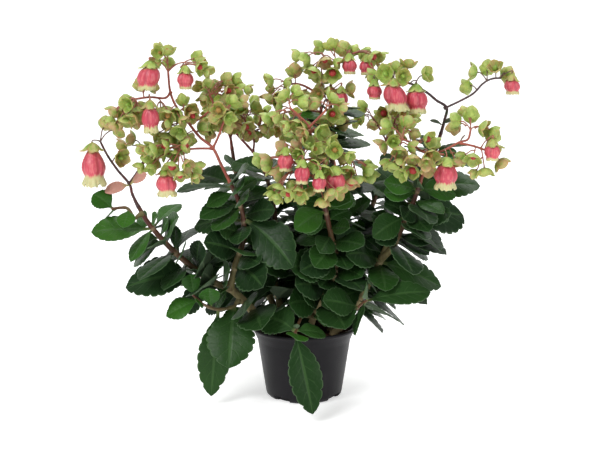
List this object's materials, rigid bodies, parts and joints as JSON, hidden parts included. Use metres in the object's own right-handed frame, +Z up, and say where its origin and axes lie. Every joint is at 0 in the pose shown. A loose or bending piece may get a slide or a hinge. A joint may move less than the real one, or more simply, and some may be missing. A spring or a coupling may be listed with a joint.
{
  "type": "potted flowering plant",
  "caption": "Bushy kalanchoe in a small round nursery pot, with toothed oval leaves on branched canes and heads of nodding bell flowers with green calyxes.",
  "frame": {"origin": "centre of the pot's flat underside", "axes": "+Z up, -Y towards the front of the plant, +X to the right seen from the front"},
  "size_m": [0.472, 0.285, 0.3947],
  "materials": {
    "pot_plastic": "satin",
    "peat": "matte",
    "cane": "satin",
    "leaf": "satin",
    "flower_stalk": "satin",
    "petal": "satin"
  },
  "bodies": {
    "root": {"bell_centre": "petal", "bell_far_left": "petal", "bell_far_right": "petal", "bell_front": "petal", "bell_front_left": "petal", "bell_front_mid": "petal", "bell_front_right": "petal", "bell_left_long": "petal", "bell_left_low": "petal", "bell_left_top": "petal", "bell_left_upper": "petal", "bell_low_far": "petal", "bell_low_right": "petal", "bell_right_big": "petal", "bell_right_mid": "petal", "bell_right_small": "petal", "bell_top_left": "petal", "bell_top_right": "petal", "cane_back": "cane", "cane_back_left": "cane", "cane_back_right": "cane", "cane_centre": "cane", "cane_front": "cane", "cane_left": "cane", "cane_left_mid": "cane", "cane_right": "cane", "cane_right_mid": "cane", "head_back": "flower_stalk", "head_back_left": "flower_stalk", "head_back_right": "flower_stalk", "head_centre": "flower_stalk", "head_far_left": "flower_stalk", "head_front": "flower_stalk", "head_left": "flower_stalk", "head_left_mid": "flower_stalk", "head_low_right": "flower_stalk", "head_right": "flower_stalk", "head_top": "flower_stalk", "leaves_cane_back_5": "leaf", "leaves_cane_back_left_5": "leaf", "leaves_cane_back_right_5": "leaf", "leaves_cane_centre_6": "leaf", "leaves_cane_front_4": "leaf", "leaves_cane_left_3": "leaf", "leaves_cane_left_4": "leaf", "leaves_cane_left_7": "leaf", "leaves_cane_left_mid_5": "leaf", "leaves_cane_right_4": "leaf", "leaves_cane_right_5": "leaf", "leaves_cane_right_6": "leaf", "leaves_cane_right_mid_5": "leaf", "leaves_cane_right_mid_7": "leaf", "leaves_fork_left_3": "leaf", "leaves_fork_right_2": "leaf", "pot": "pot_plastic", "shoot_far_left": "leaf", "shoot_front": "leaf", "shoot_left": "leaf", "shoot_right": "leaf", "soil": "peat"}
  },
  "joints": []
}
